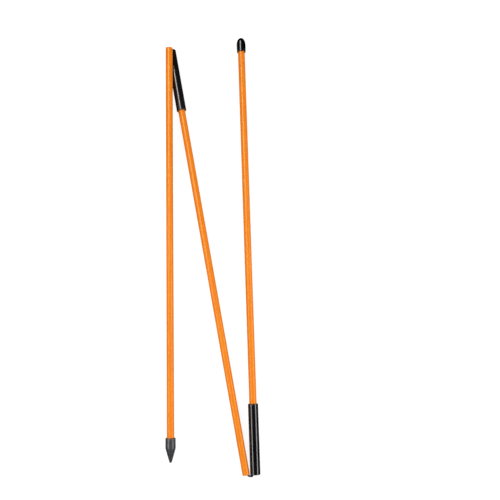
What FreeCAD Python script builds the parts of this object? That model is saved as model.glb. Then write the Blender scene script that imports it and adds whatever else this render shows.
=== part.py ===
"""Folding driveway snow marker: three fibreglass tubes on one elastic cord.

The lower tube carries a ground spike, the middle and upper tubes each carry a sleeve that takes the end of
the tube before it, and the upper tube ends in a rubber cap. The cord runs through all three tubes, and a knot
behind a washer holds it in the spike and in the cap. The marker lies folded in an N on a flat surface, with
the lower tube's open end resting on the middle section's sleeve, so the lower section slopes a little.

Row frame: +Z up from that surface, +Y the way that the lower tube points from its spike, as seen from above,
+X from the lower tube towards the upper one. The origin is on the surface, under the middle of the bounding
box.

Each section is made along its own +Z: the lower one from the point of its spike, and the other two from the
mouth of their sleeve. A roll turns about that +Z, from the section's +X side towards its +Y side, which lies
underneath.
"""

import FreeCAD, Part
import math
import os
import re

import Sketcher
from FreeCAD import Placement, Rotation, Vector

# Driving dimensions, in millimetres and degrees.
DIMENSIONS = {
    "tube_length": 399.5,
    "tube_diameter": 7.0,
    "tube_bore": 4.8,
    "tube_chamfer": 0.2,
    "sleeve_length": 66.0,
    "sleeve_diameter": 9.7,
    "socket_depth": 33.0,
    "socket_bore": 7.2,
    "sleeve_rim_round": 0.3,
    "spike_length": 23.1,
    "spike_diameter": 9.7,
    "spike_cone_length": 13.5,
    "spike_point_diameter": 2.2,
    "spike_point_round": 0.9,
    "spike_shoulder_round": 2.0,
    "spike_rim_round": 0.6,
    "spike_socket_depth": 9.0,
    "cap_length": 15.5,
    "cap_diameter": 9.3,
    "cap_dome_round": 4.4,
    "cap_rim_round": 0.4,
    "cap_socket_depth": 9.0,
    "washer_diameter": 6.8,
    "washer_bore": 2.4,
    "washer_thickness": 0.8,
    "knot_pocket_bore": 5.0,
    "knot_pocket_depth": 4.2,
    "knot_diameter": 4.6,
    "knot_flat_height": 1.6,
    "cord_diameter": 2.0,
    "cord_lead_share": 0.15,
    "cord_rim_shift": 1.3,
    "cord_mouth_shift": 2.4,
    "cord_centre_depth": 68.0,
    "cord_centre_bend": 100.0,
    "cord_fold_bend": 2.15,
    "cord_fold_rise": 1.4,
    "cord_fold_leg": 5.0,
    "cord_fold_depth": 5.0,
    "cord_fold_gap": 0.05,
    "fold_spacing": 8.6,
    "fold_open_gap": 2.4,
    "lower_mouth_rise": 0.5,
    "upper_mouth_rise": 1.2,
    "lower_fold_roll": 83.4,
    "upper_fold_roll": 180.0,
    "middle_heading": 170.57,
    "upper_heading": -0.88,
}

doc = FreeCAD.newDocument("FoldingSnowMarker")


def make_sheet():
    """The driving dimensions as a sheet: names in column A, numbers with an alias in column B."""
    made = doc.addObject("Spreadsheet::Sheet", "dims")
    for row, (name, number) in enumerate(DIMENSIONS.items(), start=1):
        made.set(f"A{row}", name)
        made.set(f"B{row}", str(number))
        made.setAlias(f"B{row}", name)
    doc.recompute()
    return made


sheet = make_sheet()


def formula(text):
    """A formula in plain names, such as "tube_bore / 2", with each name pointing at its cell."""
    return re.sub(r"[a-z_]+", lambda m: f"dims.{m[0]}" if m[0] in DIMENSIONS else m[0], text)


def value(text):
    """What a formula in plain names comes to."""
    return float(sheet.evalExpression(formula(text)))


# Modelling helpers


def make_body(label):
    """An empty part that is built from sketches."""
    body = doc.addObject("PartDesign::Body", label)
    body.Label = label
    return body


def make_sketch(body, name, plane_role):
    """A sketch on one of the body's own origin planes."""
    plane = next(f for f in body.Origin.OriginFeatures if f.Role == plane_role)
    sketch = body.newObject("Sketcher::SketchObject", f"{body.Label}_{name}")
    sketch.AttachmentSupport = [(plane, "")]
    sketch.MapMode = "FlatFace"
    return sketch


def bind(sketch, kind, *elements, text):
    """Adds a dimension to the sketch and binds it to a formula."""
    index = sketch.addConstraint(Sketcher.Constraint(kind, *elements, value(text)))
    sketch.setExpression(f"Constraints[{index}]", formula(text))


def draw_outline(sketch, corners):
    """A closed outline of straight lines. Each corner is a pair of formulas, and "0" puts it on an axis."""
    origin, across_axis, up_axis = -1, -1, -2
    points = [Vector(value(x), value(y), 0) for x, y in corners]
    lines = [Part.LineSegment(a, b) for a, b in zip(points, points[1:] + points[:1])]
    sketch.addGeometry(lines)
    for line, (x, y) in enumerate(corners):
        before = (line - 1) % len(corners)
        sketch.addConstraint(Sketcher.Constraint("Coincident", before, 2, line, 1))
        if x == "0":
            sketch.addConstraint(Sketcher.Constraint("PointOnObject", line, 1, up_axis))
        else:
            bind(sketch, "DistanceX", origin, 1, line, 1, text=x)
        if y == "0":
            sketch.addConstraint(Sketcher.Constraint("PointOnObject", line, 1, across_axis))
        else:
            bind(sketch, "DistanceY", origin, 1, line, 1, text=y)


def draw_circles(sketch, diameters):
    """Circles about the sketch's origin, one for each formula."""
    for text in diameters:
        circle = sketch.addGeometry(Part.Circle(Vector(), Vector(0, 0, 1), value(text) / 2))
        sketch.addConstraint(Sketcher.Constraint("Coincident", circle, 3, -1, 1))
        bind(sketch, "Diameter", circle, text=text)


def turn_outline(body, name, feature, corners):
    """Turns an outline about the body's +Z axis: a Revolution adds metal, and a Groove cuts it away."""
    sketch = make_sketch(body, name, "XZ_Plane")
    draw_outline(sketch, corners)
    turned = body.newObject(f"PartDesign::{feature}", f"{body.Label}_{name}_turned")
    turned.Profile = sketch
    turned.ReferenceAxis = (sketch, ["V_Axis"])
    turned.Angle = 360
    doc.recompute()
    return turned


def round_edges(feature, radius=None, height=None):
    """Names of the feature's round edges, or only those of that radius and at that height."""
    names = []
    for number, edge in enumerate(feature.Shape.Edges, start=1):
        if not isinstance(edge.Curve, Part.Circle):
            continue
        off_radius = 0 if radius is None else abs(edge.Curve.Radius - radius)
        off_height = 0 if height is None else abs(edge.Curve.Center.z - height)
        if max(off_radius, off_height) < 1e-4:
            names.append(f"Edge{number}")
    return names


def dress_edges(body, kind, base, edges, text):
    """Breaks the named edges of the base feature with a Fillet or a Chamfer."""
    size_name = {"Fillet": "Radius", "Chamfer": "Size"}[kind]
    dressed = body.newObject(f"PartDesign::{kind}", f"{body.Label}_{kind.lower()}")
    dressed.Base = (base, edges)
    setattr(dressed, size_name, value(text))
    dressed.setExpression(size_name, formula(text))
    doc.recompute()
    return dressed


def make_ring(label, outer, bore, length):
    """A straight-walled ring from z = 0 up its +Z axis."""
    body = make_body(label)
    sketch = make_sketch(body, "section", "XY_Plane")
    draw_circles(sketch, [outer, bore])
    pad = body.newObject("PartDesign::Pad", f"{label}_pad")
    pad.Profile = sketch
    pad.setExpression("Length", formula(length))
    doc.recompute()
    return body


# Parts that are turned or moulded round an axis


def make_ground_spike():
    """The point that goes into the ground: a collar round the tube's end, and a cone with a blunt tip."""
    body = make_body("ground_spike")
    outside = turn_outline(body, "outside", "Revolution", [
        ("0", "0"),
        ("spike_point_diameter / 2", "0"),
        ("spike_diameter / 2", "spike_cone_length"),
        ("spike_diameter / 2", "spike_length"),
        ("0", "spike_length"),
    ])
    rim = round_edges(outside, value("spike_diameter / 2"), value("spike_length"))
    rounded = dress_edges(body, "Fillet", outside, rim, "spike_rim_round")
    shoulder = round_edges(rounded, value("spike_diameter / 2"), value("spike_cone_length"))
    rounded = dress_edges(body, "Fillet", rounded, shoulder, "spike_shoulder_round")
    point = round_edges(rounded, value("spike_point_diameter / 2"), 0)
    dress_edges(body, "Fillet", rounded, point, "spike_point_round")
    cut_end_socket(body, "spike_length", "-1", "spike_socket_depth")
    return body


def make_end_cap():
    """The rubber cap, from its open rim at z = 0 up to its dome."""
    body = make_body("end_cap")
    outside = turn_outline(body, "outside", "Revolution", [
        ("0", "0"),
        ("cap_diameter / 2", "0"),
        ("cap_diameter / 2", "cap_length"),
        ("0", "cap_length"),
    ])
    crown = round_edges(outside, value("cap_diameter / 2"), value("cap_length"))
    dome = dress_edges(body, "Fillet", outside, crown, "cap_dome_round")
    rim = round_edges(dome, value("cap_diameter / 2"), 0)
    dress_edges(body, "Fillet", dome, rim, "cap_rim_round")
    cut_end_socket(body, "0", "1", "cap_socket_depth")
    return body


def cut_end_socket(body, face, inwards, depth):
    """Cuts the socket that takes a tube's end and its washer, with a narrower pocket for the knot behind."""
    seat = f"{face} + {inwards} * ({depth} + washer_thickness)"
    floor = f"{seat} + {inwards} * knot_pocket_depth"
    turn_outline(body, "socket", "Groove", [
        ("0", floor),
        ("knot_pocket_bore / 2", floor),
        ("knot_pocket_bore / 2", seat),
        ("tube_diameter / 2", seat),
        ("tube_diameter / 2", face),
        ("0", face),
    ])


def make_tube(label):
    """One of the three equal fibreglass tubes."""
    tube = make_ring(label, "tube_diameter", "tube_bore", "tube_length")
    dress_edges(tube, "Chamfer", tube.Tip, round_edges(tube.Tip), "tube_chamfer")
    return tube


def make_sleeve(label):
    """A joining sleeve: the half from z = 0 is the open socket, and the other half is bonded to its tube."""
    body = make_body(label)
    wall = turn_outline(body, "wall", "Revolution", [
        ("socket_bore / 2", "0"),
        ("sleeve_diameter / 2", "0"),
        ("sleeve_diameter / 2", "sleeve_length"),
        ("tube_diameter / 2", "sleeve_length"),
        ("tube_diameter / 2", "socket_depth"),
        ("socket_bore / 2", "socket_depth"),
    ])
    dress_edges(body, "Fillet", wall, round_edges(wall, value("sleeve_diameter / 2")), "sleeve_rim_round")
    return body


def make_washer(label):
    """The washer that a tube's end bears on, with the cord's knot behind it."""
    return make_ring(label, "washer_diameter", "washer_bore", "washer_thickness")


def make_knot(label):
    """The knot in an end of the cord: a ball about the origin, with a flat above it that meets the washer."""
    knot = doc.addObject("Part::Sphere", label)
    knot.Label = label
    knot.setExpression("Radius", formula("knot_diameter / 2"))
    knot.setExpression("Angle2", formula("asin(knot_flat_height / (knot_diameter / 2))"))
    return knot


# Cord

# Where a fold's cord ends in a sleeve's socket, across and along, on the line from its mouth to the tube's middle.
FOLD_END = ("cord_mouth_shift * (1 - cord_fold_depth / cord_centre_depth)", "cord_fold_depth")


def make_cord_run(label, place, start, end):
    """A straight stretch of cord in a section. Start and end are formulas for its place: across and along."""
    run = doc.addObject("Part::Cylinder", label)
    run.Label = label
    run.setExpression("Radius", formula("cord_diameter / 2"))
    run.setExpression("Height", formula(f"sqrt(({end[0]} - {start[0]})^2 + ({end[1]} - {start[1]})^2)"))
    foot = point_in(Placement(), start)
    run.Placement = place * Placement(foot, Rotation(Vector(0, 0, 1), point_in(Placement(), end) - foot))
    return run


def make_cord_sweep(label, corners, bend):
    """A stretch of cord along straight runs that are joined by tangent arcs of one radius."""
    edges = []
    start = corners[0]
    for before, corner, after in zip(corners, corners[1:], corners[2:]):
        arrive = (corner - before).normalize()
        leave = (after - corner).normalize()
        turn = arrive.getAngle(leave)
        inwards = (leave - arrive).normalize()
        reach = bend * math.tan(turn / 2)
        centre = corner + inwards * (bend / math.cos(turn / 2))
        arc = [corner - arrive * reach, centre - inwards * bend, corner + leave * reach]
        edges.append(Part.LineSegment(start, arc[0]).toShape())
        edges.append(Part.Arc(*arc).toShape())
        start = arc[2]
    edges.append(Part.LineSegment(start, corners[-1]).toShape())
    spine = Part.Wire(edges)
    radius = value("cord_diameter / 2")
    section = Part.Wire(Part.Circle(corners[0], corners[1] - corners[0], radius).toShape())
    cord = doc.addObject("Part::Feature", label)
    cord.Label = label
    cord.Shape = spine.makePipeShell([section], True, False)
    if abs(cord.Shape.Volume / (math.pi * radius ** 2 * spine.Length) - 1) > 0.01:
        raise ValueError(f"{label}: the swept volume isn't the cord's section times its length")
    print(f"{label}: {spine.Length:.1f} mm of cord, with bends of {bend} mm radius")
    return cord


def make_cord_fold(label, rim, section):
    """The cord that shows at a fold: out of the open tube's rim, round a half turn, into the sleeve's mouth.

    The rim's frame has +Z out of the tube and +X towards the next section, and the route is worked out in it.
    """
    mouth = rim.inverse() * facing(section, rim.Base)
    entry = point_in(mouth, ("cord_mouth_shift", "0"))
    inside = point_in(mouth, FOLD_END)
    into_sleeve = (inside - entry).normalize()
    leg = value("cord_rim_shift")
    rise = max(0, entry.z) + value("cord_fold_rise")
    corners = [
        Vector(leg, 0, -value("cord_fold_leg")),
        Vector(leg, 0, rise),
        entry + into_sleeve * ((rise - entry.z) / into_sleeve.z),
        inside - into_sleeve * value("cord_fold_gap"),
    ]
    return make_cord_sweep(label, [rim * corner for corner in corners], value("cord_fold_bend"))


def make_socket_cord(label, mouth, after, end):
    """The cord from a fold's end in a socket to the middle of its tube, and on to an end in another roll."""
    corners = [
        point_in(mouth, FOLD_END),
        point_in(mouth, ("0", "cord_centre_depth")),
        point_in(after, end),
    ]
    return make_cord_sweep(label, corners, value("cord_centre_bend"))


def lead_start(start, end):
    """Where a tube's last stretch of cord starts, which slides in as the joint is plugged together."""
    return tuple(f"({b} - cord_lead_share * ({b} - ({a})))" for a, b in zip(start, end))


# Places


def point_in(place, across_and_along):
    """The point at a pair of formulas in a section: how far across to its +X side, and how far along."""
    across, up = across_and_along
    return place * Vector(value(across), 0, value(up))


def along(section, height):
    """The place at a height along a section."""
    return section * Placement(Vector(0, 0, value(height)), Rotation())


def facing(section, target):
    """The same place, rolled about the section's length until its +X side faces the target."""
    towards = section.inverse() * target
    roll = math.degrees(math.atan2(towards.y, towards.x))
    return section * Placement(Vector(), Rotation(Vector(0, 0, 1), roll))


def lying(base, heading, slope=0):
    """A section's place from its base, with its heading turned from +Y to +X and its slope upwards."""
    flat = Rotation(Vector(1, 0, 0), slope - 90)
    return Placement(base, Rotation(Vector(0, 0, 1), -heading) * flat)


def next_section(rim, roll, rise, heading):
    """The place of the section whose mouth lies beside a rim, at that roll and that rise beyond it."""
    turned = rim * Placement(Vector(), Rotation(Vector(0, 0, 1), value(roll)))
    return lying(turned * Vector(value("fold_spacing"), 0, value(rise)), value(heading))


def fold_axis(rim, section):
    """The one axis that swings a section from its folded place into line with the open tube.

    Returns a point on the axis, its direction, and the angle in degrees by the right-hand rule.
    """
    out = rim.Rotation.multVec(Vector(0, 0, 1))
    into_sleeve = section.Rotation.multVec(Vector(0, 0, 1))
    swing = rim.Base + out * value("fold_open_gap") - section.Base
    axis = (out - into_sleeve).cross(swing).normalize()
    before = into_sleeve - axis * into_sleeve.dot(axis)
    after = out - axis * out.dot(axis)
    angle = math.atan2(before.cross(after).dot(axis), before.dot(after)) % (2 * math.pi)
    point = section.Base + swing / 2 + axis.cross(swing) / (2 * math.tan(angle / 2))
    return point, axis, math.degrees(angle)


# Sections

LOWER_TUBE_START = "spike_length - spike_socket_depth"
LOWER_RIM = f"({LOWER_TUBE_START} + tube_length)"
RIM = "(socket_depth + tube_length)"


def make_lower_section(section):
    """The ground spike, the lower tube, and the cord from its knot to its lead in the tube's open end."""
    seat = f"({LOWER_TUBE_START} - washer_thickness)"
    spike = make_ground_spike()
    spike.Placement = section
    tube = make_tube("lower_tube")
    tube.Placement = along(section, LOWER_TUBE_START)
    washer = make_washer("spike_washer")
    washer.Placement = along(section, seat)
    knot = make_knot("spike_knot")
    knot.Placement = along(section, f"{seat} - knot_flat_height")
    start = ("0", seat)
    end = ("cord_rim_shift", f"({LOWER_RIM} - cord_fold_leg)")
    split = lead_start(start, end)
    cord = make_cord_run("lower_cord", section, start, split)
    lead = make_cord_run("lower_cord_lead", section, split, end)
    return [spike, tube, washer, knot, cord, lead]


def make_middle_section(mouth, rim):
    """The middle tube with its sleeve, and the cord from inside the sleeve to its lead at the open end.

    Mouth and rim are the section's place rolled towards the section before and towards the one after.
    """
    sleeve = make_sleeve("lower_sleeve")
    sleeve.Placement = mouth
    tube = make_tube("middle_tube")
    tube.Placement = along(mouth, "socket_depth")
    start = ("0", "cord_centre_depth")
    end = ("cord_rim_shift", f"({RIM} - cord_fold_leg)")
    split = lead_start(start, end)
    cord = make_socket_cord("middle_cord", mouth, rim, split)
    lead = make_cord_run("middle_cord_lead", rim, split, end)
    return [sleeve, tube, cord, lead]


def make_upper_section(mouth):
    """The upper tube with its sleeve and end cap, and the cord from inside the sleeve to its knot."""
    seat = f"({RIM} + washer_thickness)"
    sleeve = make_sleeve("upper_sleeve")
    sleeve.Placement = mouth
    tube = make_tube("upper_tube")
    tube.Placement = along(mouth, "socket_depth")
    cap = make_end_cap()
    cap.Placement = along(mouth, f"{RIM} - cap_socket_depth")
    washer = make_washer("cap_washer")
    washer.Placement = along(mouth, RIM)
    knot = make_knot("cap_knot")
    turned_over = Placement(Vector(), Rotation(Vector(1, 0, 0), 180))
    knot.Placement = along(mouth, f"{seat} + knot_flat_height") * turned_over
    cord = make_socket_cord("upper_cord", mouth, mouth, ("0", seat))
    return [sleeve, tube, cap, washer, knot, cord]


def check_objects():
    """Raises an error if any object of the document failed to build."""
    for thing in doc.Objects:
        if "Invalid" in thing.State or "Error" in thing.State:
            raise ValueError(f"{thing.Label} failed: {thing.State}")


def write_parts(parts):
    """Writes each part's shape to its own file, named after the part."""
    os.makedirs("parts", exist_ok=True)
    for part in parts:
        if part.Shape.isNull() or not part.Shape.isValid():
            raise ValueError(f"{part.Label} has no valid shape")
    for part in parts:
        part.Shape.exportStep(f"parts/{part.Label}.step")


rise = value("fold_spacing * sin(lower_fold_roll)")
slope = math.degrees(math.atan2(rise, value(f"{LOWER_RIM} - spike_cone_length")))
lower = lying(Vector(), 0, slope)
middle = next_section(along(lower, LOWER_RIM), "lower_fold_roll", "lower_mouth_rise", "middle_heading")
upper = next_section(along(middle, RIM), "upper_fold_roll", "upper_mouth_rise", "upper_heading")

lower = facing(lower, middle.Base)
lower_rim = along(lower, LOWER_RIM)
middle_mouth = facing(middle, lower_rim.Base)
middle_rim = facing(along(middle, RIM), upper.Base)
upper = facing(upper, middle_rim.Base)

parts = make_lower_section(lower)
parts += make_middle_section(middle_mouth, facing(middle, upper.Base))
parts += make_upper_section(upper)
parts.append(make_cord_fold("lower_cord_fold", lower_rim, middle))
parts.append(make_cord_fold("upper_cord_fold", middle_rim, upper))
doc.recompute()
check_objects()

box = FreeCAD.BoundBox()
for part in parts:
    box.add(part.Shape.optimalBoundingBox(False, False))
to_origin = Placement(-Vector(box.Center.x, box.Center.y, box.ZMin), Rotation())
for part in parts:
    part.Placement = to_origin * part.Placement
doc.recompute()
check_objects()
write_parts(parts)

for name, rim, section in (("lower", lower_rim, middle), ("upper", middle_rim, upper)):
    point, axis, angle = fold_axis(to_origin * rim, to_origin * section)
    inwards = rim.Rotation.multVec(Vector(0, 0, -1))
    print(f"{name} fold: point {point}, axis {axis}, swing {angle}, plugs along {inwards}")
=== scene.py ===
"""Folding driveway snow marker: three fibreglass tubes on a shock cord, lying folded.

Lengths are in metres. Each section's own frame has its origin at the section's lower end and +Z along it,
and its +X side faces the neighbouring section at that end.
"""

import math

import bmesh
import bpy
from mathutils import Matrix, Vector


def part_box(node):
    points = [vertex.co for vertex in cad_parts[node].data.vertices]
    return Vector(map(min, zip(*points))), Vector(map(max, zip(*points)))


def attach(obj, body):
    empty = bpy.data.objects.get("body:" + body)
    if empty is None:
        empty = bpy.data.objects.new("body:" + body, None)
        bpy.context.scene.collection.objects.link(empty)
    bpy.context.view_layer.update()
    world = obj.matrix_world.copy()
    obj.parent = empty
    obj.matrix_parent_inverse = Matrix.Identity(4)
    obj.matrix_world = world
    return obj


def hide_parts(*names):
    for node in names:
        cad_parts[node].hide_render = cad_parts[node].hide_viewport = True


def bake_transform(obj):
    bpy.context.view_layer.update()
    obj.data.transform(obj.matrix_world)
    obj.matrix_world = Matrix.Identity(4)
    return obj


MM = 0.001

# The marker's own measures. Radii are given for round parts, and bores are radii too.
TUBE_LENGTH = 399.5 * MM
TUBE_RADIUS = 3.5 * MM
TUBE_BORE = 2.4 * MM
TUBE_EDGE = 0.2 * MM
SLEEVE_LENGTH = 66 * MM
SLEEVE_RADIUS = 4.85 * MM
SOCKET_DEPTH = 33 * MM
SOCKET_BORE = 3.6 * MM
SPIKE_LENGTH = 23.1 * MM
SPIKE_CONE = 13.5 * MM
SPIKE_RADIUS = 4.85 * MM
END_SOCKET = 9 * MM
CAP_LENGTH = 15.5 * MM
WASHER_THICKNESS = 0.8 * MM
WASHER_RADIUS = 3.4 * MM
WASHER_BORE = 1.2 * MM
KNOT_POCKET_BORE = 2.5 * MM
KNOT_POCKET_DEPTH = 4.2 * MM
KNOT_SEAT = 1.6 * MM
CORD_RIM_SHIFT = 1.3 * MM
CORD_MOUTH_SHIFT = 2.4 * MM
CORD_CENTRE_DEPTH = 68 * MM
CORD_FOLD_RISE = 1.4 * MM
CORD_FOLD_DEPTH = 5 * MM
CORD_RADIUS = 1.0 * MM
CORD_LEAD_SHARE = 0.15
CORD_BRAIDED_LENGTH = 36 * MM
CORD_TURN = 1.15 * MM
CORD_LOWEST_RISE = 1.2 * MM
CORD_LEG = 1.6 * MM
CORD_INSET = 0.9 * MM
CORD_CORE_SHARE = 0.98
SPIKE_TUBE_START = SPIKE_LENGTH - END_SOCKET
LOWER_RIM = SPIKE_TUBE_START + TUBE_LENGTH
RIM = SOCKET_DEPTH + TUBE_LENGTH

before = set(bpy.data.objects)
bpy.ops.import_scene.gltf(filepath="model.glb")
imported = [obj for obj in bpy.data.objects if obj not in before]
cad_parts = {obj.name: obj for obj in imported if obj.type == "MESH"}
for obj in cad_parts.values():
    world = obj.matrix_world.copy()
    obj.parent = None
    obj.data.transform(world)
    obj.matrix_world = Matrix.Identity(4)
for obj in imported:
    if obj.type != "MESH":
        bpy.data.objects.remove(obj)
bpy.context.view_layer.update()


# Places


def middle_of(node):
    """The middle of a node's box, which is on the axis of a round part."""
    low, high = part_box(node)
    return (low + high) / 2


def section_axis(near, far, far_height):
    """A section's origin and direction, from two of its round parts and how high the far one's middle is."""
    direction = (middle_of(far) - middle_of(near)).normalized()
    return middle_of(far) - direction * far_height, direction


def facing(origin, direction, target):
    """The frame at an origin with +Z along a direction and +X towards a target."""
    across = target - origin
    across = (across - direction * across.dot(direction)).normalized()
    place = Matrix((across, direction.cross(across), direction)).transposed().to_4x4()
    place.translation = origin
    return place


lower_origin, lower_way = section_axis("spike_washer", "lower_tube", SPIKE_TUBE_START + TUBE_LENGTH / 2)
middle_origin, middle_way = section_axis("lower_sleeve", "middle_tube", SOCKET_DEPTH + TUBE_LENGTH / 2)
upper_origin, upper_way = section_axis("upper_sleeve", "upper_tube", SOCKET_DEPTH + TUBE_LENGTH / 2)
lower_end = lower_origin + lower_way * LOWER_RIM
middle_end = middle_origin + middle_way * RIM

lower = facing(lower_origin, lower_way, middle_origin)
lower_rim = facing(lower_end, lower_way, middle_origin)
middle = facing(middle_origin, middle_way, lower_end)
middle_rim = facing(middle_end, middle_way, upper_origin)
upper = facing(upper_origin, upper_way, middle_end)


# Material making


class Recipe:
    """A material's node tree, with short calls for the nodes that its pattern needs."""

    def __init__(self, name, section=None):
        self.material = bpy.data.materials.new(name)
        self.material.use_nodes = True
        self.tree = self.material.node_tree
        self.shader = self.tree.nodes["Principled BSDF"]
        self.place = self.own_place(section)

    def add(self, kind, **settings):
        """A new node, with its properties set by name."""
        node = self.tree.nodes.new(kind)
        for key, setting in settings.items():
            setattr(node, key, setting)
        return node

    def join(self, source, target):
        """Links an output to an input, or sets the input to a plain number or colour."""
        if isinstance(source, bpy.types.NodeSocket):
            self.tree.links.new(source, target)
        else:
            target.default_value = source

    def own_place(self, section):
        """Object coordinates, turned into a section's own frame where one is given."""
        place = self.add("ShaderNodeTexCoord").outputs["Object"]
        if section is None:
            return place
        turned = self.add("ShaderNodeMapping")
        back = section.inverted()
        turned.inputs["Location"].default_value = back.translation
        turned.inputs["Rotation"].default_value = back.to_euler("XYZ")
        self.join(place, turned.inputs["Vector"])
        return turned.outputs["Vector"]

    def stretched(self, across, lengthwise):
        """The place scaled by one number across the section and another along it."""
        scaled = self.add("ShaderNodeMapping")
        scaled.inputs["Scale"].default_value = (across, across, lengthwise)
        self.join(self.place, scaled.inputs["Vector"])
        return scaled.outputs["Vector"]

    def noise(self, place, scale, detail=3.0, rough=0.55):
        """Soft noise from 0 to 1."""
        node = self.add("ShaderNodeTexNoise")
        self.join(place, node.inputs["Vector"])
        node.inputs["Scale"].default_value = scale
        node.inputs["Detail"].default_value = detail
        node.inputs["Roughness"].default_value = rough
        return node.outputs["Fac"]

    def ranged(self, value, low, high, to_low=0.0, to_high=1.0):
        """A value stretched from one range to another and clamped, softly at both ends."""
        node = self.add("ShaderNodeMapRange", interpolation_type="SMOOTHSTEP")
        self.join(value, node.inputs["Value"])
        for key, setting in (("From Min", low), ("From Max", high), ("To Min", to_low), ("To Max", to_high)):
            node.inputs[key].default_value = setting
        return node.outputs["Result"]

    def maths(self, operation, first, second=0.0):
        """One step of arithmetic."""
        node = self.add("ShaderNodeMath", operation=operation)
        self.join(first, node.inputs[0])
        self.join(second, node.inputs[1])
        return node.outputs["Value"]

    def mixed(self, share, first, second):
        """Two colours mixed by a share."""
        node = self.add("ShaderNodeMix", data_type="RGBA")
        self.join(share, node.inputs["Factor"])
        self.join(first, node.inputs["A"])
        self.join(second, node.inputs["B"])
        return node.outputs["Result"]

    def along(self):
        """How far along the section a point is."""
        node = self.add("ShaderNodeSeparateXYZ")
        self.join(self.place, node.inputs["Vector"])
        return node.outputs["Z"]

    def bump(self, height, distance, strength=1.0):
        """Joins a height pattern to the shader as bump."""
        node = self.add("ShaderNodeBump")
        node.inputs["Strength"].default_value = strength
        node.inputs["Distance"].default_value = distance
        self.join(height, node.inputs["Height"])
        self.join(node.outputs["Normal"], self.shader.inputs["Normal"])

    def finish(self, colour, roughness, **constants):
        """Joins colour and roughness, and sets the shader's other sockets to constants."""
        self.join(colour, self.shader.inputs["Base Color"])
        self.join(roughness, self.shader.inputs["Roughness"])
        for key, setting in constants.items():
            self.shader.inputs[key.replace("_", " ")].default_value = setting
        return self.material


DEEP_ORANGE = (0.54, 0.122, 0.0015, 1)
BRIGHT_ORANGE = (0.64, 0.166, 0.003, 1)
MOTTLED_ORANGE = (0.62, 0.19, 0.007, 1)
SCUFFED_ORANGE = (0.68, 0.30, 0.08, 1)
RESIN_SHINE = (1, 0.85, 0.45, 1)
SAWN_RESIN = (0.62, 0.13, 0.012, 1)
SAWN_FIBRE = (0.90, 0.42, 0.14, 1)
SAW_DUST = (0.70, 0.24, 0.06, 1)
DARK_YARN = (0.002, 0.002, 0.0022, 1)
LIT_YARN = (0.006, 0.006, 0.0065, 1)
FADED_YARN = (0.016, 0.0155, 0.0165, 1)
BRIGHT_ZINC = (0.50, 0.51, 0.53, 1)
DULL_ZINC = (0.36, 0.36, 0.37, 1)
PLASTIC_IOR = 1.5
YARN_IOR = 1.4
FINE_BUMP = 0.03 * MM
SAWN_BUMP = 0.04 * MM
YARN_BUMP = 0.08 * MM
ZINC_BUMP = 0.02 * MM
RUBBED_FROM = 0.3 * MM
RUBBED_TO = 2.6 * MM


def fibreglass_finish(name, section):
    """Orange pultruded fibreglass: lengthwise fibres under clear resin, with fine handling scuffs."""
    recipe = Recipe(name, section)
    fibres = recipe.noise(recipe.stretched(1.0, 0.012), 2600, 4)
    mottle = recipe.noise(recipe.stretched(1.0, 0.18), 160, 2)
    scuffs = recipe.noise(recipe.stretched(1.0, 0.05), 900, 5, 0.7)
    worn = recipe.ranged(scuffs, 0.63, 0.75)
    orange = recipe.mixed(recipe.ranged(fibres, 0.32, 0.68), DEEP_ORANGE, BRIGHT_ORANGE)
    orange = recipe.mixed(recipe.ranged(mottle, 0.35, 0.7, 0.0, 0.35), orange, MOTTLED_ORANGE)
    orange = recipe.mixed(recipe.maths("MULTIPLY", worn, 0.3), orange, SCUFFED_ORANGE)
    roughness = recipe.maths("ADD", recipe.ranged(fibres, 0.3, 0.7, 0.27, 0.34),
                             recipe.maths("MULTIPLY", worn, 0.2))
    recipe.bump(recipe.maths("ADD", fibres, recipe.maths("MULTIPLY", worn, -0.6)), FINE_BUMP, 0.5)
    return recipe.finish(orange, roughness, IOR=PLASTIC_IOR, Specular_IOR_Level=0.36,
                         Specular_Tint=RESIN_SHINE)


def cut_fibre_finish(name):
    """The sawn end of a fibreglass tube: pale dots of glass fibre in orange resin."""
    recipe = Recipe(name)
    dots = recipe.add("ShaderNodeTexVoronoi", feature="F1")
    recipe.join(recipe.place, dots.inputs["Vector"])
    dots.inputs["Scale"].default_value = 4200
    fibre = recipe.ranged(dots.outputs["Distance"], 0.1, 0.45, 1.0, 0.0)
    saw = recipe.noise(recipe.stretched(1.0, 1.0), 1800, 3)
    orange = recipe.mixed(fibre, SAWN_RESIN, SAWN_FIBRE)
    orange = recipe.mixed(recipe.ranged(saw, 0.4, 0.7, 0.0, 0.4), orange, SAW_DUST)
    recipe.bump(recipe.maths("ADD", saw, fibre), SAWN_BUMP, 0.7)
    return recipe.finish(orange, recipe.ranged(saw, 0.3, 0.7, 0.6, 0.85), IOR=PLASTIC_IOR)


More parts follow.
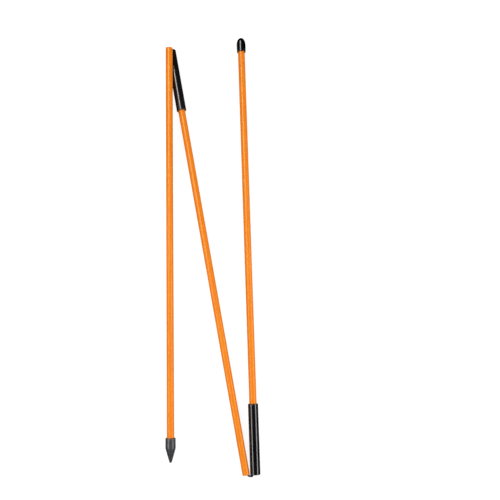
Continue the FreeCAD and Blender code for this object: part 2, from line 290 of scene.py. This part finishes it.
def moulded_finish(name, section, length, dark, pale, rough, worn_rough):
    """Moulded black plastic or rubber: faint mottle, fine scratches, and rubbed rims at both ends."""
    recipe = Recipe(name, section)
    grain = recipe.noise(recipe.stretched(1.0, 0.6), 1900, 4)
    mottle = recipe.noise(recipe.stretched(1.0, 0.4), 240, 2)
    scratches = recipe.noise(recipe.stretched(1.0, 0.03), 1500, 5, 0.7)
    height = recipe.along()
    near_start = recipe.ranged(height, RUBBED_FROM, RUBBED_TO, 1.0, 0.0)
    near_end = recipe.ranged(height, length - RUBBED_TO, length - RUBBED_FROM)
    near_rim = recipe.maths("MAXIMUM", near_start, near_end)
    rubbed = recipe.maths("MULTIPLY", near_rim, recipe.ranged(grain, 0.45, 0.62))
    scratched = recipe.ranged(scratches, 0.66, 0.78, 0.0, 0.45)
    worn = recipe.maths("MAXIMUM", recipe.maths("MULTIPLY", rubbed, 0.5), scratched)
    less_dark = tuple(1.35 * part for part in dark[:3]) + (1,)
    colour = recipe.mixed(recipe.ranged(mottle, 0.3, 0.7), dark, less_dark)
    colour = recipe.mixed(worn, colour, pale)
    roughness = recipe.maths("ADD", recipe.ranged(mottle, 0.3, 0.7, rough - 0.03, rough + 0.03),
                             recipe.maths("MULTIPLY", worn, worn_rough))
    recipe.bump(recipe.maths("ADD", grain, recipe.maths("MULTIPLY", scratches, -0.8)), FINE_BUMP, 0.25)
    return recipe.finish(colour, roughness, IOR=PLASTIC_IOR)


def shock_cord_finish(name, weave=False):
    """Black braided polyester yarn, with the braid as bump where it isn't modelled strand by strand."""
    recipe = Recipe(name)
    yarn = recipe.noise(recipe.place, 6500, 3)
    fade = recipe.noise(recipe.place, 420, 2)
    colour = recipe.mixed(recipe.ranged(yarn, 0.3, 0.7), DARK_YARN, LIT_YARN)
    colour = recipe.mixed(recipe.ranged(fade, 0.45, 0.75, 0.0, 0.4), colour, FADED_YARN)
    height = yarn
    if weave:
        cells = recipe.add("ShaderNodeTexVoronoi", feature="F1")
        recipe.join(recipe.stretched(1.0, 1.0), cells.inputs["Vector"])
        cells.inputs["Scale"].default_value = 1900
        height = recipe.maths("SUBTRACT", yarn, recipe.maths("MULTIPLY", cells.outputs["Distance"], 2.5))
    recipe.bump(height, YARN_BUMP, 0.8)
    return recipe.finish(colour, recipe.ranged(yarn, 0.3, 0.7, 0.6, 0.8), IOR=YARN_IOR, Sheen_Weight=0.03,
                         Sheen_Roughness=0.4)


def zinc_finish(name):
    """Zinc-plated steel with fine rolling lines and dull spots."""
    recipe = Recipe(name)
    lines = recipe.noise(recipe.stretched(1.0, 0.06), 3800, 4)
    spots = recipe.noise(recipe.place, 900, 3)
    colour = recipe.mixed(recipe.ranged(spots, 0.4, 0.7), BRIGHT_ZINC, DULL_ZINC)
    recipe.bump(lines, ZINC_BUMP, 0.5)
    return recipe.finish(colour, recipe.ranged(lines, 0.3, 0.7, 0.26, 0.44), Metallic=1.0)


# Piece making

SHARP_ANGLE = math.radians(32)
FLAT_END = 0.98


def piece_from(name, bm, materials):
    """An object from a bmesh: doubles merged, faces turned outwards, and edges sharp past a slight angle."""
    bmesh.ops.remove_doubles(bm, verts=bm.verts, dist=1e-7)
    bmesh.ops.recalc_face_normals(bm, faces=bm.faces)
    for face in bm.faces:
        face.smooth = True
    for edge in bm.edges:
        if len(edge.link_faces) == 2:
            edge.smooth = edge.calc_face_angle() < SHARP_ANGLE
    mesh = bpy.data.meshes.new(name)
    bm.to_mesh(mesh)
    bm.free()
    piece = bpy.data.objects.new(name, mesh)
    bpy.context.scene.collection.objects.link(piece)
    for material in materials:
        mesh.materials.append(material)
    return piece


def turned(outline, closed, steps=72):
    """A round piece turned from an outline of (radius, height, rounding) corners about +Z."""
    bm = bmesh.new()
    corners = [bm.verts.new((radius, 0, height)) for radius, height, rounding in outline]
    pairs = list(zip(corners, corners[1:]))
    if closed:
        pairs.append((corners[-1], corners[0]))
    for pair in pairs:
        bm.edges.new(pair)
    for corner, (radius, height, rounding) in zip(corners, outline):
        if rounding:
            bmesh.ops.bevel(bm, geom=[corner], offset=rounding, offset_type="OFFSET", affect="VERTICES",
                            segments=5, profile=0.5, material=-1, clamp_overlap=False)
    bmesh.ops.spin(bm, geom=bm.verts[:] + bm.edges[:], cent=(0, 0, 0), axis=(0, 0, 1), dvec=(0, 0, 0),
                   angle=math.tau, steps=steps, use_merge=True, use_duplicate=False)
    return bm


def stand_for(piece, body, slot, *nodes):
    """The piece rides on a body and stands for its nodes of the frame. The slot argument is not used."""
    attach(piece, body)
    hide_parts(*nodes)


def make_tube(name, section, start, body, node, coat, cut):
    """A fibreglass tube, with its sawn ends in their own finish."""
    bm = turned([
        (TUBE_BORE, 0, TUBE_EDGE * 0.5),
        (TUBE_RADIUS, 0, TUBE_EDGE),
        (TUBE_RADIUS, TUBE_LENGTH, TUBE_EDGE),
        (TUBE_BORE, TUBE_LENGTH, TUBE_EDGE * 0.5),
    ], closed=True)
    bm.normal_update()
    for face in bm.faces:
        face.material_index = int(abs(face.normal.z) > FLAT_END)
    bmesh.ops.transform(bm, matrix=section @ Matrix.Translation((0, 0, start)), verts=bm.verts)
    piece = piece_from(name, bm, [coat, cut])
    stand_for(piece, body, "orange_fibreglass", node)


def make_sleeve(name, section, body, node, finish):
    """A joining sleeve: an open socket, and a half that grips its own tube."""
    bm = turned([
        (SOCKET_BORE, 0, 0.25 * MM),
        (SLEEVE_RADIUS, 0, 0.35 * MM),
        (SLEEVE_RADIUS, SLEEVE_LENGTH, 0.35 * MM),
        (TUBE_RADIUS, SLEEVE_LENGTH, 0.12 * MM),
        (TUBE_RADIUS, SOCKET_DEPTH, 0),
        (SOCKET_BORE, SOCKET_DEPTH, 0),
    ], closed=True, steps=96)
    bmesh.ops.transform(bm, matrix=section, verts=bm.verts)
    piece = piece_from(name, bm, [finish])
    stand_for(piece, body, "sleeve_plastic", node)


def end_socket(face, inwards):
    """The inner corners of a spike or cap, from its open face to the floor of its knot pocket."""
    seat = face + inwards * (END_SOCKET + WASHER_THICKNESS)
    floor = seat + inwards * KNOT_POCKET_DEPTH
    return [
        (TUBE_RADIUS, face, 0.12 * MM),
        (TUBE_RADIUS, seat, 0.1 * MM),
        (KNOT_POCKET_BORE, seat, 0.1 * MM),
        (KNOT_POCKET_BORE, floor, 0.3 * MM),
        (0, floor, 0),
    ]


def make_ground_spike(finish):
    """The spike: a straight collar, a rounded shoulder, and a cone with a blunt tip."""
    bm = turned([
        (0, 0, 0),
        (1.0 * MM, 0, 0.75 * MM),
        (1.62 * MM, 2.2 * MM, 0.5 * MM),
        (SPIKE_RADIUS, SPIKE_CONE, 1.0 * MM),
        (SPIKE_RADIUS, SPIKE_LENGTH, 0.55 * MM),
    ] + end_socket(SPIKE_LENGTH, -1), closed=False, steps=96)
    bmesh.ops.transform(bm, matrix=lower, verts=bm.verts)
    piece = piece_from("ground_spike_moulding", bm, [finish])
    stand_for(piece, "lower_section", "spike_plastic", "ground_spike")


def make_end_cap(finish):
    """The cap: a slightly swollen side under a tall rounded dome."""
    bm = turned([
        (0, CAP_LENGTH, 0),
        (1.5 * MM, CAP_LENGTH - 0.02 * MM, 0.9 * MM),
        (3.4 * MM, CAP_LENGTH - 1.9 * MM, 1.2 * MM),
        (4.5 * MM, CAP_LENGTH - 5.0 * MM, 1.6 * MM),
        (4.65 * MM, CAP_LENGTH - 8.6 * MM, 1.6 * MM),
        (4.42 * MM, 0, 0.4 * MM),
    ] + end_socket(0, 1), closed=False, steps=96)
    bmesh.ops.transform(bm, matrix=upper @ Matrix.Translation((0, 0, RIM - END_SOCKET)), verts=bm.verts)
    piece = piece_from("rounded_end_cap", bm, [finish])
    stand_for(piece, "upper_section", "cap_rubber", "end_cap")


def make_washer(name, place, body, node, finish):
    """A flat washer with its punched edges slightly rounded."""
    bm = turned([
        (WASHER_BORE, 0, 0.12 * MM),
        (WASHER_RADIUS, 0, 0.15 * MM),
        (WASHER_RADIUS, WASHER_THICKNESS, 0.15 * MM),
        (WASHER_BORE, WASHER_THICKNESS, 0.12 * MM),
    ], closed=True, steps=64)
    bmesh.ops.transform(bm, matrix=place, verts=bm.verts)
    piece = piece_from(name, bm, [finish])
    stand_for(piece, body, "washer_steel", node)


# Cord


def curve_object(name, lines, order, cyclic=False):
    """A curve object with one spline for each line of points."""
    curve = bpy.data.curves.new(name, "CURVE")
    curve.dimensions = "3D"
    curve.resolution_u = 20 if order == 3 else 1
    for points in lines:
        spline = curve.splines.new("NURBS" if order == 3 else "POLY")
        spline.points.add(len(points) - 1)
        for knot, point in zip(spline.points, points):
            knot.co = (*point, 1)
        if order == 3:
            spline.order_u = 3
            spline.use_endpoint_u = not cyclic
        spline.use_cyclic_u = cyclic
    holder = bpy.data.objects.new(name, curve)
    bpy.context.scene.collection.objects.link(holder)
    return holder


def mesh_and_drop(holder, name):
    """The mesh that a curve object gives. The curve goes."""
    mesh = bpy.data.meshes.new_from_object(holder)
    mesh.name = name
    curve = holder.data
    bpy.data.objects.remove(holder)
    bpy.data.curves.remove(curve)
    return mesh


def smooth_line(name, route):
    """The smooth line whose control points are a cord's route, read back as points."""
    mesh = mesh_and_drop(curve_object(name, [route], 3), name)
    line = [vert.co.copy() for vert in mesh.vertices]
    bpy.data.meshes.remove(mesh)
    return line


def even_points(line, gap):
    """Points along a line at an even gap, each with its distance from the start and its direction."""
    stations = []
    travelled = 0.0
    due = 0.0
    for start, stop in zip(line, line[1:]):
        reach = (stop - start).length
        if reach < 1e-9:
            continue
        while due <= travelled + reach:
            stations.append((start.lerp(stop, (due - travelled) / reach), due, (stop - start).normalized()))
            due += gap
        travelled += reach
    return stations


def carried_frames(stations):
    """A pair of directions across the line at each station, carried along it without twist."""
    across = stations[0][2].orthogonal().normalized()
    frames = []
    for point, distance, ahead in stations:
        across = (across - ahead * across.dot(ahead)).normalized()
        frames.append((point, distance, across, ahead.cross(across)))
    return frames


BRAID_PITCH = 5.2 * MM
BRAID_RADIUS = 0.71 * MM
BRAID_RISE = 0.07 * MM
STRAND_RADIUS = 0.215 * MM
STRANDS_EACH_WAY = 8
BRAID_STATION_GAP = 0.24 * MM


def braid_strands(frames):
    """The strands of the cord's cover: half turn one way and half the other, over and under in turn."""
    turn_rate = math.tau / BRAID_PITCH
    strands = []
    for way in (1, -1):
        for strand in range(STRANDS_EACH_WAY):
            points = []
            for point, distance, across, beside in frames:
                angle = way * turn_rate * distance + math.tau * strand / STRANDS_EACH_WAY
                rise = way * BRAID_RISE * math.cos(STRANDS_EACH_WAY * turn_rate * distance)
                out = across * math.cos(angle) + beside * math.sin(angle)
                points.append(point + out * (BRAID_RADIUS + rise))
            strands.append(points)
    return strands


def bevelled_mesh(name, lines, radius, resolution, order=1, cyclic=False):
    """A mesh of round strands that follow lines of points."""
    holder = curve_object(name, lines, order, cyclic)
    holder.data.bevel_depth = radius
    holder.data.bevel_resolution = resolution
    holder.data.use_fill_caps = not cyclic
    return mesh_and_drop(holder, name)


def make_cord(name, route, braided_length, finish):
    """A braided cord along a route, strand by strand as far as it can be seen, and plain beyond that."""
    line = smooth_line(name, route)
    frames = carried_frames(even_points(line, BRAID_STATION_GAP))
    seen = [place for place in frames if place[1] <= braided_length]
    hidden = [place[0] for place in frames if place[1] >= braided_length][::8]
    bm = bmesh.new()
    core = [place[0] for place in seen][::2]
    bm.from_mesh(bevelled_mesh(name + "_core", [core], BRAID_RADIUS, 3))
    bm.from_mesh(bevelled_mesh(name + "_strands", braid_strands(seen), STRAND_RADIUS, 1))
    if len(hidden) > 1:
        bm.from_mesh(bevelled_mesh(name + "_rest", [hidden], CORD_RADIUS * CORD_CORE_SHARE, 3))
    piece = piece_from(name, bm, [finish])
    return piece


def fold_end():
    """Where a fold's cord ends in a socket, on the line from its mouth to the middle of the tube."""
    return Vector((CORD_MOUTH_SHIFT * (1 - CORD_FOLD_DEPTH / CORD_CENTRE_DEPTH), 0, CORD_FOLD_DEPTH))


def fold_route(rim, section):
    """The cord's route at a fold: out of an open tube, round a half turn, and into a sleeve's socket."""
    mouth = rim.inverted() @ section
    entry = mouth @ Vector((CORD_MOUTH_SHIFT, 0, 0))
    inside = mouth @ fold_end()
    down = (inside - entry) / (entry.z - inside.z)
    rise = max(0, entry.z) + CORD_FOLD_RISE
    near_rise = max(CORD_LOWEST_RISE, rise - CORD_RADIUS)
    near_mouth = entry + down * (entry.z - rise + CORD_TURN)
    return [rim @ point for point in (
        Vector((CORD_RIM_SHIFT, 0, -CORD_FOLD_DEPTH)),
        Vector((CORD_RIM_SHIFT, 0, -CORD_LEG)),
        Vector((CORD_RIM_SHIFT, 0, near_rise - CORD_TURN)),
        Vector((CORD_RIM_SHIFT + CORD_INSET, entry.y * 0.2, near_rise)),
        Vector((near_mouth.x - CORD_INSET, entry.y * 0.8, rise)),
        near_mouth,
        entry + down * CORD_LEG,
        inside,
    )]


def make_fold_cord(name, rim, section, node, finish):
    """The cord's half turn between two sections: its legs sit in the tubes and its crown is a fixed bend
    between them.
    """
    route = fold_route(rim, section)
    piece = make_cord(name, route, 1.0, finish)
    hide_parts(node)
    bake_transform(piece)


def make_socket_cord(name, mouth, after, end_shift, end_height, body, node, finish):
    """The cord from a sleeve's mouth to the middle of its tube, and on to the far end.

    It turns in early enough to run inside the bore of a tube that is plugged into the socket.
    """
    route = [
        mouth @ fold_end(),
        mouth @ Vector((2.0 * MM, 0, 7 * MM)),
        mouth @ Vector((1.2 * MM, 0, 11 * MM)),
        mouth @ Vector((1.1 * MM, 0, 18 * MM)),
        mouth @ Vector((0, 0, CORD_CENTRE_DEPTH)),
        after @ Vector((end_shift, 0, end_height)),
    ]
    piece = make_cord(name, route, CORD_BRAIDED_LENGTH, finish)
    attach(piece, body)
    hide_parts(node)


KNOT_STEPS = 24
KNOT_REACH = 0.92 * MM
KNOT_SWING = 0.42 * MM
KNOT_HEIGHT = 0.62 * MM
KNOT_CORD_RADIUS = 0.78 * MM


def make_knot(name, place, body, node, finish):
    """A small overhand knot, drawn up tight: a line that goes twice round and three times in and out."""
    loops = []
    for step in range(KNOT_STEPS):
        turn = math.tau * step / KNOT_STEPS
        reach = KNOT_REACH + KNOT_SWING * math.cos(3 * turn)
        height = KNOT_HEIGHT * math.sin(3 * turn)
        loops.append(Vector((reach * math.cos(2 * turn), reach * math.sin(2 * turn), height)))
    bm = bmesh.new()
    bm.from_mesh(bevelled_mesh(name, [loops], KNOT_CORD_RADIUS, 3, order=3, cyclic=True))
    bmesh.ops.transform(bm, matrix=place, verts=bm.verts)
    piece = piece_from(name, bm, [finish])
    stand_for(piece, body, "shock_cord", node)


# The marker

coats = {
    "lower": fibreglass_finish("orange_fibreglass_lower", lower),
    "middle": fibreglass_finish("orange_fibreglass_middle", middle),
    "upper": fibreglass_finish("orange_fibreglass_upper", upper),
}
cut_fibre = cut_fibre_finish("sawn_fibreglass")
braid_finish = shock_cord_finish("shock_cord_strands")
cord_finish = shock_cord_finish("shock_cord_cover", weave=True)
zinc = zinc_finish("zinc_plate")
SLEEVE_BLACK = (0.003, 0.003, 0.004, 1)
# The upper sleeve is the same black plastic as the lower one; its darker black is painted shade for the
# dimmer light at the top end.
UPPER_SLEEVE_SHADED_BLACK = (0.0014, 0.0014, 0.0022, 1)
SLEEVE_RUBBED = (0.035, 0.035, 0.04, 1)
CAP_BLACK = (0.001, 0.001, 0.0012, 1)
CAP_RUBBED = (0.03, 0.03, 0.032, 1)
SPIKE_GREY = (0.022, 0.023, 0.025, 1)
SPIKE_RUBBED = (0.10, 0.098, 0.095, 1)
lower_sleeve_black = moulded_finish(
    "black_sleeve_lower", middle, SLEEVE_LENGTH, SLEEVE_BLACK, SLEEVE_RUBBED, 0.22, 0.2
)
# The upper sleeve's finish takes the darker black, which is painted shade, not a different plastic.
upper_sleeve_shaded_black = moulded_finish(
    "black_sleeve_upper_painted_shade", upper, SLEEVE_LENGTH, UPPER_SLEEVE_SHADED_BLACK, SLEEVE_RUBBED, 0.19, 0.2
)
cap_black = moulded_finish(
    "black_cap_rubber", upper @ Matrix.Translation((0, 0, RIM - END_SOCKET)), CAP_LENGTH * 1.5,
    CAP_BLACK, CAP_RUBBED, 0.2, 0.25
)
spike_grey = moulded_finish("charcoal_spike", lower, SPIKE_LENGTH, SPIKE_GREY, SPIKE_RUBBED, 0.38, 0.2)

make_tube("lower_fibreglass_tube", lower, SPIKE_TUBE_START, "lower_section", "lower_tube",
          coats["lower"], cut_fibre)
make_tube("middle_fibreglass_tube", middle, SOCKET_DEPTH, "middle_section", "middle_tube",
          coats["middle"], cut_fibre)
make_tube("upper_fibreglass_tube", upper, SOCKET_DEPTH, "upper_section", "upper_tube",
          coats["upper"], cut_fibre)
make_sleeve("lower_joining_sleeve", middle, "middle_section", "lower_sleeve", lower_sleeve_black)
make_sleeve("upper_joining_sleeve", upper, "upper_section", "upper_sleeve", upper_sleeve_shaded_black)
make_ground_spike(spike_grey)
make_end_cap(cap_black)

spike_seat = lower @ Matrix.Translation((0, 0, SPIKE_TUBE_START - WASHER_THICKNESS))
cap_seat = upper @ Matrix.Translation((0, 0, RIM))
make_washer("spike_end_washer", spike_seat, "lower_section", "spike_washer", zinc)
make_washer("cap_end_washer", cap_seat, "upper_section", "cap_washer", zinc)
make_knot("spike_end_knot", spike_seat @ Matrix.Translation((0, 0, -KNOT_SEAT)), "lower_section",
          "spike_knot", braid_finish)
make_knot("cap_end_knot", cap_seat @ Matrix.Translation((0, 0, WASHER_THICKNESS + KNOT_SEAT)),
          "upper_section", "cap_knot", braid_finish)

make_fold_cord("lower_cord_loop", lower_rim, middle,
               "lower_cord_fold", braid_finish)
make_fold_cord("upper_cord_loop", middle_rim, upper,
               "upper_cord_fold", braid_finish)

middle_lead_start = RIM - CORD_FOLD_DEPTH - CORD_LEAD_SHARE * (RIM - CORD_FOLD_DEPTH - CORD_CENTRE_DEPTH)
middle_lead_shift = CORD_RIM_SHIFT * (1 - CORD_LEAD_SHARE)
middle_after = facing(middle_origin, middle_way, upper_origin)
make_socket_cord("middle_socket_cord", middle, middle_after, middle_lead_shift, middle_lead_start,
                 "middle_section", "middle_cord", braid_finish)
make_socket_cord("upper_socket_cord", upper, upper, 0, RIM + WASHER_THICKNESS,
                 "upper_section", "upper_cord", braid_finish)

for node in ("lower_cord", "lower_cord_lead", "middle_cord_lead"):
    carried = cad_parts[node]
    for slot in carried.material_slots:
        slot.material = cord_finish


# Floor, light and camera


FLOOR_REACH = 6
FLOOR_GLOW = 0.85
ROOM_BRIGHTNESS = 0.75
SENSOR_WIDTH = 36
LENS_LENGTH = 50.4
CAMERA_PLACE = (0.03724, -0.1039, 0.69425)
CAMERA_TURN = (math.radians(8.4), 0, math.radians(-1.025))


def make_floor():
    """A wide pale floor that glows a little, the same tone all over but for a slight unevenness."""
    bm = bmesh.new()
    bmesh.ops.create_grid(bm, x_segments=8, y_segments=8, size=FLOOR_REACH)
    floor = piece_from("pale_floor", bm, [])
    recipe = Recipe("pale_floor_paper")
    tone = recipe.noise(recipe.place, 3, 2)
    colour = recipe.mixed(recipe.ranged(tone, 0.3, 0.7), (0.17, 0.17, 0.17, 1), (0.19, 0.19, 0.19, 1))
    glow = recipe.mixed(tone, (0.98, 0.98, 0.98, 1), (1, 1, 1, 1))
    recipe.join(glow, recipe.shader.inputs["Emission Color"])
    roughness = recipe.ranged(tone, 0.3, 0.7, 0.9, 0.95)
    floor.data.materials.append(recipe.finish(colour, roughness, Emission_Strength=FLOOR_GLOW))
    floor.visible_glossy = False


def make_softbox(name, place, target, width, length, radiance):
    """A rectangular softbox that faces a target, with its long side nearest to the Y direction."""
    light = bpy.data.lights.new(name, "AREA")
    light.shape = "RECTANGLE"
    light.size = width
    light.size_y = length
    light.energy = radiance * math.pi * width * length
    holder = bpy.data.objects.new(name, light)
    bpy.context.scene.collection.objects.link(holder)
    away = (Vector(place) - Vector(target)).normalized()
    beside = Vector((0, 1, 0)).cross(away).normalized()
    turn = Matrix((beside, away.cross(beside), away)).transposed().to_4x4()
    turn.translation = place
    holder.matrix_world = turn
    holder.visible_camera = False
    return holder


def light_room():
    """Even white light for the floor and the tubes, which polished parts don't mirror."""
    world = bpy.data.worlds.new("pale_room")
    world.use_nodes = True
    bpy.context.scene.world = world
    backdrop = world.node_tree.nodes["Background"]
    backdrop.inputs["Color"].default_value = (1, 1, 1, 1)
    backdrop.inputs["Strength"].default_value = ROOM_BRIGHTNESS
    world.cycles_visibility.glossy = False


make_floor()
light_room()
overhead = make_softbox("overhead_diffuser", (0, 0, 1.5), (0, 0, 0), 1.5, 1.5, 0.7)
overhead.visible_glossy = False
make_softbox("left_softbox", (-0.84, -0.25, 0.82), (0.0, -0.25, 0), 0.34, 0.9, 9.5)
make_softbox("right_softbox", (0.98, -0.25, 0.56), (0.04, -0.25, 0), 0.34, 0.9, 9.5)
far_softbox = make_softbox("far_softbox", (-0.25, 0.55, 0.80), (0.0, 0.15, 0), 0.22, 1.0, 18.0)
far_softbox.visible_diffuse = False

bpy.context.scene.view_settings.view_transform = "Standard"
camera_data = bpy.data.cameras.new("camera")
camera_data.sensor_width = SENSOR_WIDTH
camera_data.lens = LENS_LENGTH
camera = bpy.data.objects.new("camera", camera_data)
camera.location = CAMERA_PLACE
camera.rotation_euler = CAMERA_TURN
bpy.context.scene.collection.objects.link(camera)
bpy.context.scene.camera = camera
